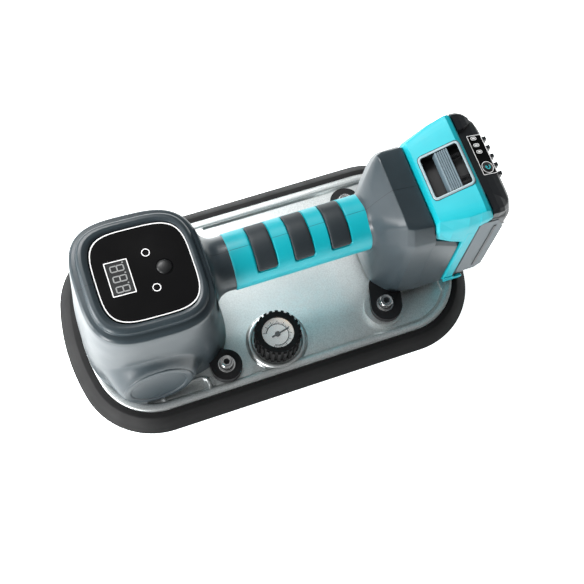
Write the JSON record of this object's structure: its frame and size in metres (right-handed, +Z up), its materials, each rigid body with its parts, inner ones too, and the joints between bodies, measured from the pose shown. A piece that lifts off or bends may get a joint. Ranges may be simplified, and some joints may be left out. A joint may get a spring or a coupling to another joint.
{
  "type": "cordless vacuum suction lifter",
  "caption": "Hand-held vacuum suction lifter: oval sealed suction plate, padded bar grip, built-in diaphragm pump, digital display, dial vacuum gauge and slide-on battery.",
  "frame": {"origin": "centre of the suction plate, on the plane where the seal meets the work", "axes": "+X along the grip towards the battery, +Y across the body to the left, +Z up, away from the work"},
  "size_m": [0.297, 0.1502, 0.1262],
  "materials": {
    "plate_alloy": "sand-cast, satin",
    "seal_rubber": "matt moulded rubber",
    "filter_foam": "open foam",
    "black_plastic": "matt black moulding",
    "screw_steel": "zinc-plated steel",
    "motor_steel": "plated steel",
    "magnet": "sintered ferrite",
    "copper": "enamelled copper",
    "brass": "turned brass",
    "dial_white": "printed white",
    "needle_black": "matt black",
    "clear_lens": "clear",
    "body_grey": "smooth moulded",
    "teal_plastic": "smooth moulded",
    "pad_rubber": "soft moulded",
    "panel_black": "gloss black",
    "button_black": "satin black",
    "led_clear": "diffuse lens",
    "circuit_board": "solder mask",
    "pump_plastic": "glass-filled moulding",
    "hose_clear": "translucent tube",
    "wire_insulation": "sleeved wires",
    "pack_dark": "fine-grained moulding",
    "latch_grey": "ribbed moulding",
    "cell_wrap": "shrink-wrapped can"
  },
  "bodies": {
    "lifter": {"base_plate": "plate_alloy", "seal_ring": "seal_rubber", "inlet_filter": "filter_foam", "mounting_feet": "black_plastic", "foot_screws": "screw_steel", "foot_washers": "screw_steel", "gauge_case": "brass", "gauge_boot": "seal_rubber", "gauge_dial": "dial_white", "bourdon_tube": "brass", "gauge_lens": "clear_lens", "right_housing": "body_grey", "left_housing": "body_grey", "housing_screws": "screw_steel", "grip_shell_right": "teal_plastic", "grip_shell_left": "teal_plastic", "grip_pads": "pad_rubber", "display_panel": "panel_black", "display_module": "panel_black", "indicator_leds": "led_clear", "control_board": "circuit_board", "motor_can": "motor_steel", "motor_magnets": "magnet", "motor_end_bell": "pump_plastic", "motor_bearings": "screw_steel", "crankcase": "pump_plastic", "diaphragm": "seal_rubber", "valve_plate": "pump_plastic", "pump_head": "pump_plastic", "pump_mounts": "seal_rubber", "vacuum_manifold": "pump_plastic", "check_valve": "dial_white", "release_valve": "motor_steel", "valve_coil": "copper", "plunger_spring": "screw_steel", "vacuum_hoses": "hose_clear", "wire_harness": "wire_insulation", "battery_rail": "pump_plastic", "terminal_block": "black_plastic"},
    "rotor": {"motor_shaft": "screw_steel", "motor_armature": "motor_steel", "motor_windings": "copper", "eccentric": "screw_steel"},
    "rod": {"crank_bearing": "screw_steel", "connecting_rod": "black_plastic"},
    "needle": {"gauge_needle": "needle_black"},
    "button": {"power_button": "button_black"},
    "plunger": {"valve_plunger": "screw_steel"},
    "battery": {"battery_top_case": "teal_plastic", "battery_base_case": "pack_dark", "cells": "cell_wrap", "cell_holders": "black_plastic", "battery_board": "circuit_board", "battery_terminals": "brass", "charge_display": "panel_black", "battery_screws": "screw_steel", "latch_springs": "screw_steel"},
    "latch": {"battery_latch": "latch_grey"},
    "check_key": {"check_button": "button_black"}
  },
  "joints": [
    {"name": "motor_spin", "type": "hinge", "parent": "lifter", "child": "rotor", "pos_m": [-0.093, 0, 0.036], "axis": [0, 1, 0], "continuous": true},
    {"name": "rod_swing", "type": "hinge", "parent": "rotor", "child": "rod", "pos_m": [-0.093, 0.012, 0.038], "axis": [0, 1, 0], "continuous": true},
    {"name": "needle_turn", "type": "hinge", "parent": "lifter", "child": "needle", "pos_m": [-0.0058, -0.0394, 0.024], "axis": [0, 0, -1], "range_deg": [-90, 160], "stiffness_Nm_per_rad": 0.00001},
    {"name": "power_press", "type": "slide", "parent": "lifter", "child": "button", "axis": [-0.1028, 0, -0.9947], "range_m": [0, 0.0007], "stiffness_N_per_m": 400},
    {"name": "valve_lift", "type": "slide", "parent": "lifter", "child": "plunger", "axis": [0, 0, 1], "range_m": [0, 0.002], "stiffness_N_per_m": 500, "deforming": ["plunger_spring"]},
    {"name": "battery_slide", "type": "slide", "parent": "lifter", "child": "battery", "axis": [0, 0, 1], "range_m": [0, 0.09]},
    {"name": "latch_press", "type": "slide", "parent": "battery", "child": "latch", "axis": [0.9219, 0, 0.3875], "range_m": [0, 0.004], "stiffness_N_per_m": 600, "deforming": ["latch_springs"]},
    {"name": "check_press", "type": "slide", "parent": "battery", "child": "check_key", "axis": [-0.2419, 0, -0.9703], "range_m": [0, 0.0005], "stiffness_N_per_m": 400}
  ],
  "couplings": [
    {"joint": "rod_swing", "follows": "motor_spin", "ratio": -1}
  ]
}
